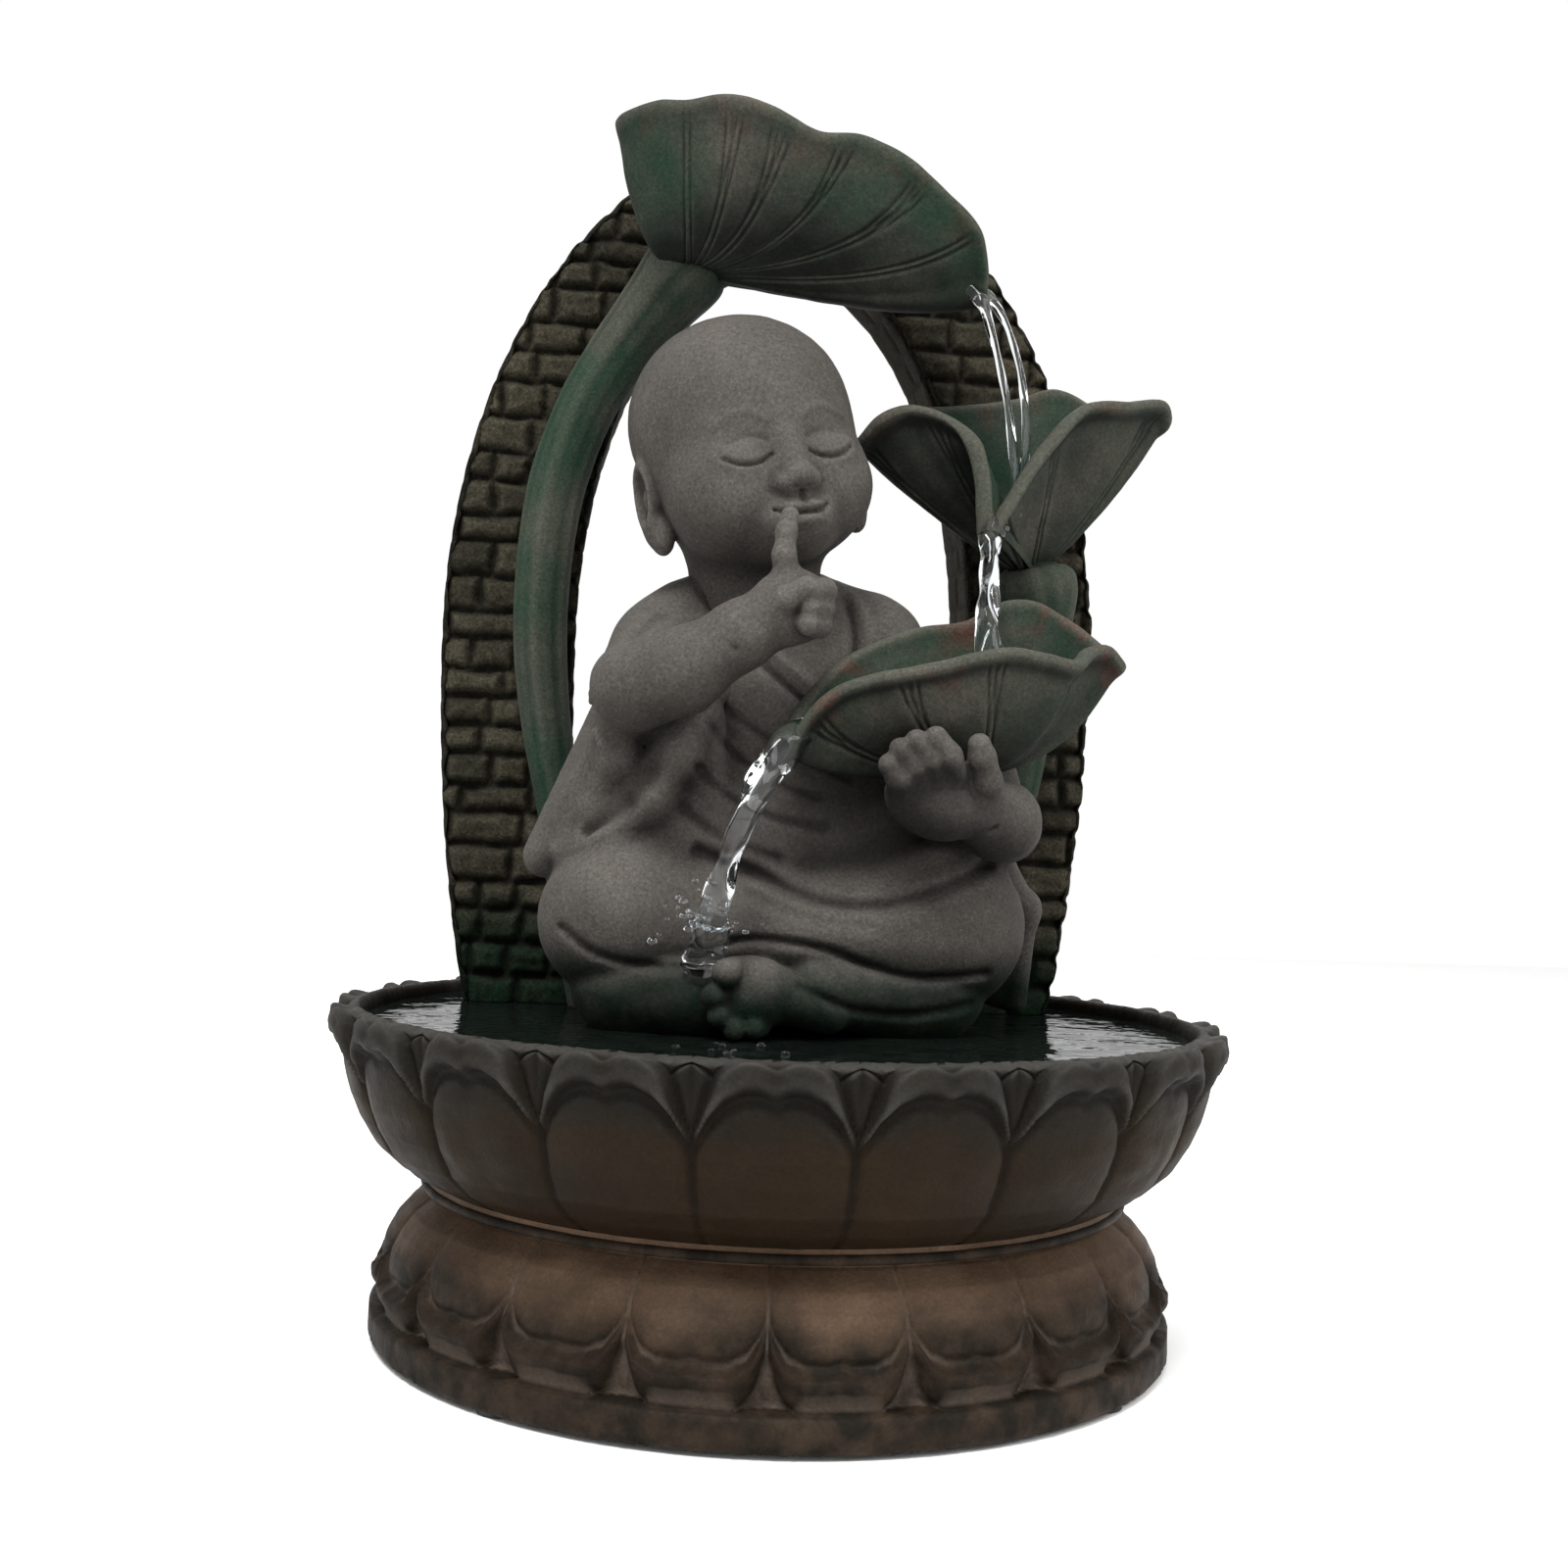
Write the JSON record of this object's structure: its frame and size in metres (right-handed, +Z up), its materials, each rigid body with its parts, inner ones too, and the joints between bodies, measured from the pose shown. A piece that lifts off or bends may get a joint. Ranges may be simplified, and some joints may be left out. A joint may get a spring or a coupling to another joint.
{
  "type": "tabletop water fountain",
  "caption": "Tabletop water fountain: lotus basin on a pedestal, brick arch, seated child and lotus leaves that pass the water down.",
  "frame": {"origin": "centre of the base, on the surface it stands on", "axes": "+Z up, -Y to the front, +X to the right as seen from the front"},
  "size_m": [0.2822, 0.2822, 0.4049],
  "materials": {
    "figure_resin": "matt speckled cast resin, grey-brown",
    "leaf_resin": "matt cast resin, grey-green with a green patina",
    "brick_resin": "matt cast resin, olive-brown bricks",
    "basin_resin": "matt cast resin, dark brown with charcoal lips",
    "pedestal_resin": "matt cast resin, warm brown with charcoal lips",
    "deck_resin": "pebbled dark resin",
    "rubber": "matt black",
    "black_plastic": "satin black",
    "white_plastic": "satin",
    "steel": "brushed",
    "magnet": "plastic-bonded magnet",
    "copper": "enamelled winding",
    "hose": "smoked soft tube",
    "sponge": "open foam"
  },
  "bodies": {
    "basin": {"rubber_feet": "rubber", "pedestal": "pedestal_resin", "pedestal_screws": "steel", "lotus_basin": "basin_resin", "notch_grommet": "rubber", "suction_cups": "rubber", "pump_housing": "black_plastic", "motor_coil": "copper", "pump_shaft": "steel", "volute_cover": "black_plastic"},
    "pump_rotor": {"rotor_magnet": "magnet", "impeller": "white_plastic"},
    "intake": {"intake_cover": "black_plastic", "filter_sponge": "sponge"},
    "flow_gate": {"flow_slider": "white_plastic"},
    "sculpture": {"deck_plate": "deck_resin", "arch_screws": "steel", "brick_arch": "brick_resin", "hose_cuff": "rubber", "riser_hose": "hose", "spout_elbow": "black_plastic", "hose_clips": "black_plastic", "lotus_stem": "leaf_resin", "top_leaf": "leaf_resin", "middle_stalk": "leaf_resin", "middle_leaf": "leaf_resin", "lower_leaf": "leaf_resin", "figure_body": "figure_resin", "figure_head": "figure_resin", "raised_arm": "figure_resin", "holding_hand": "figure_resin"}
  },
  "joints": [
    {"name": "sculpture_lift", "type": "slide", "parent": "basin", "child": "sculpture", "axis": [0, 0, 1], "range_m": [0, 0.06]},
    {"name": "rotor_spin", "type": "hinge", "parent": "basin", "child": "pump_rotor", "pos_m": [-0.075, 0.05, 0.066], "axis": [1, 0, 0], "continuous": true},
    {"name": "intake_pull", "type": "slide", "parent": "basin", "child": "intake", "axis": [-1, 0, 0], "range_m": [0, 0.005]},
    {"name": "flow_adjust", "type": "slide", "parent": "intake", "child": "flow_gate", "axis": [0, 0, 1], "range_m": [0, 0.005]}
  ]
}
